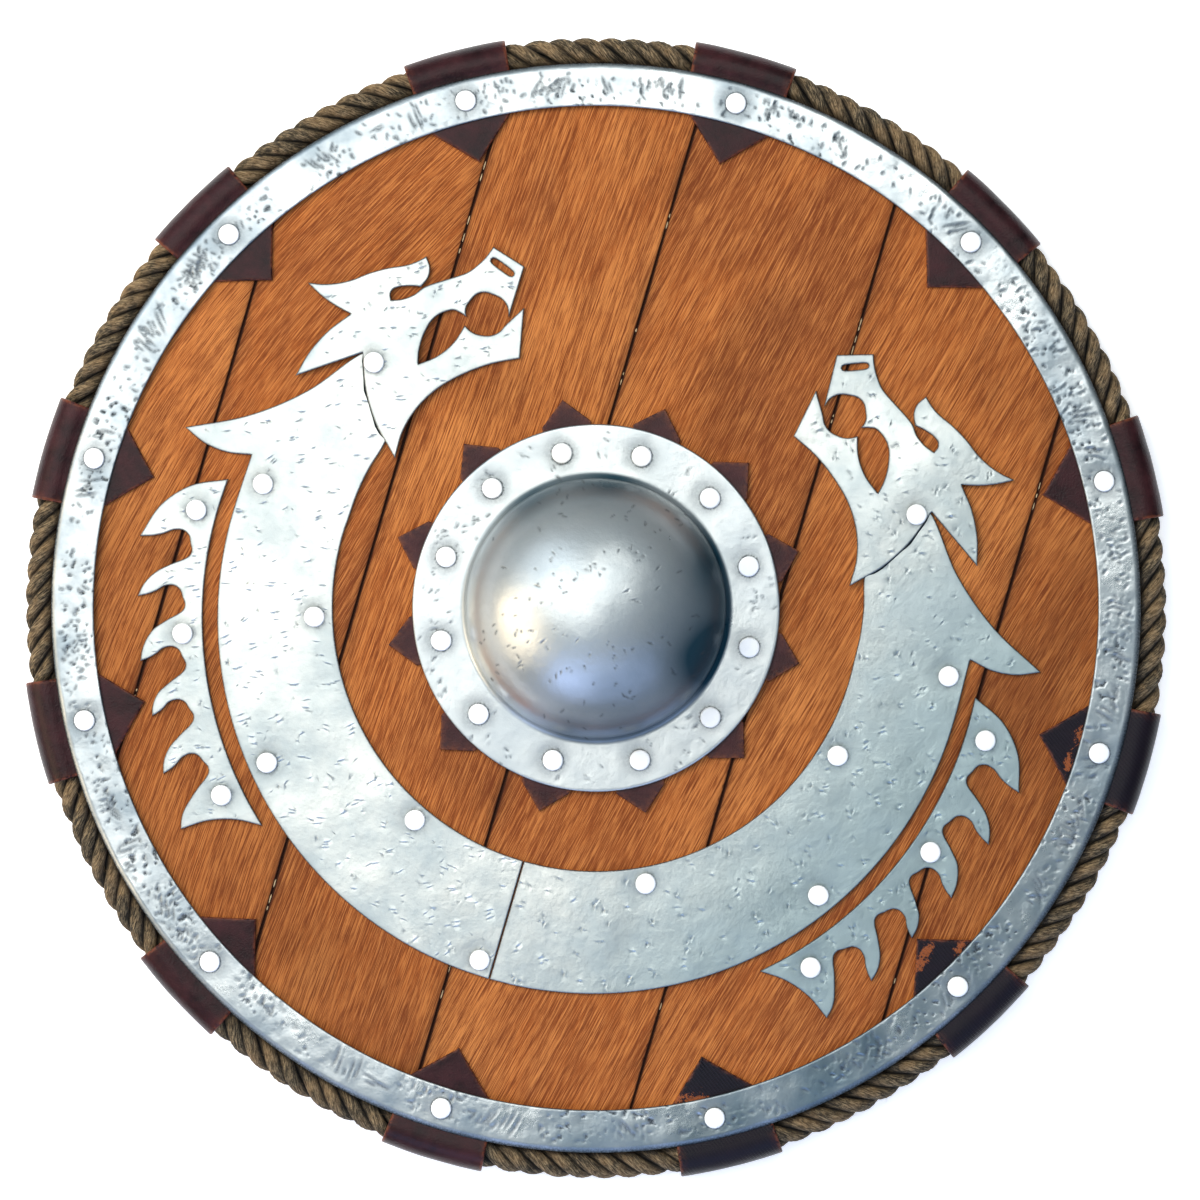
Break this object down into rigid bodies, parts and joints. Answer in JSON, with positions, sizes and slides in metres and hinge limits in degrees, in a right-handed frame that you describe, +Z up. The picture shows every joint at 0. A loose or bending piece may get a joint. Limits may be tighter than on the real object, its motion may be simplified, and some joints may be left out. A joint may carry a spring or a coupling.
{
  "type": "round shield",
  "caption": "Round wooden shield with a domed steel boss, riveted steel rim band, rope and leather edging, a two-headed dragon in sheet steel, and a grip behind.",
  "frame": {"origin": "on the plane that the shield lies on, under the middle of the board", "axes": "+Z up, out of the shield's front; +Y along the planks to the shield's top, where the dragon's heads are; +X to the right as seen from the front"},
  "size_m": [0.7038, 0.7038, 0.084],
  "materials": {
    "planks": "stained plank wood with dark grain, satin",
    "grip": "plain oiled wood, matt",
    "rope": "coarse twisted hemp, matt",
    "straps": "dark brown leather with worn red-brown patches, half gloss",
    "tabs": "dark brown leather, matt to half gloss",
    "band": "hammered and dented steel",
    "boss": "hammered and polished steel",
    "dragon": "sheet steel with small dents and chisel marks",
    "rivets": "bright smooth steel"
  },
  "bodies": {
    "root": {"plank_01": "planks", "plank_02": "planks", "plank_03": "planks", "plank_04": "planks", "plank_05": "planks", "plank_06": "planks", "grip": "grip", "rim_rope": "rope", "rim_strap_01": "straps", "rim_strap_02": "straps", "rim_strap_03": "straps", "rim_strap_04": "straps", "rim_strap_05": "straps", "rim_strap_06": "straps", "rim_strap_07": "straps", "rim_strap_08": "straps", "rim_strap_09": "straps", "rim_strap_10": "straps", "rim_strap_11": "straps", "rim_strap_12": "straps", "rim_band": "band", "boss_tab_01": "tabs", "boss_tab_02": "tabs", "boss_tab_03": "tabs", "boss_tab_04": "tabs", "boss_tab_05": "tabs", "boss_tab_06": "tabs", "boss_tab_07": "tabs", "boss_tab_08": "tabs", "boss_tab_09": "tabs", "boss_tab_10": "tabs", "boss_tab_11": "tabs", "boss_tab_12": "tabs", "boss": "boss", "dragon_body_left": "dragon", "dragon_head_left": "dragon", "dragon_crest_left": "dragon", "dragon_body_right": "dragon", "dragon_head_right": "dragon", "dragon_crest_right": "dragon", "dragon_rivet_01": "rivets", "dragon_rivet_02": "rivets", "dragon_rivet_03": "rivets", "dragon_rivet_04": "rivets", "dragon_rivet_05": "rivets", "dragon_rivet_06": "rivets", "dragon_rivet_07": "rivets", "dragon_rivet_08": "rivets", "dragon_rivet_09": "rivets", "dragon_rivet_10": "rivets", "dragon_rivet_11": "rivets", "dragon_rivet_12": "rivets", "dragon_rivet_13": "rivets", "dragon_rivet_14": "rivets", "dragon_rivet_15": "rivets", "dragon_rivet_16": "rivets", "dragon_rivet_17": "rivets"}
  },
  "joints": []
}
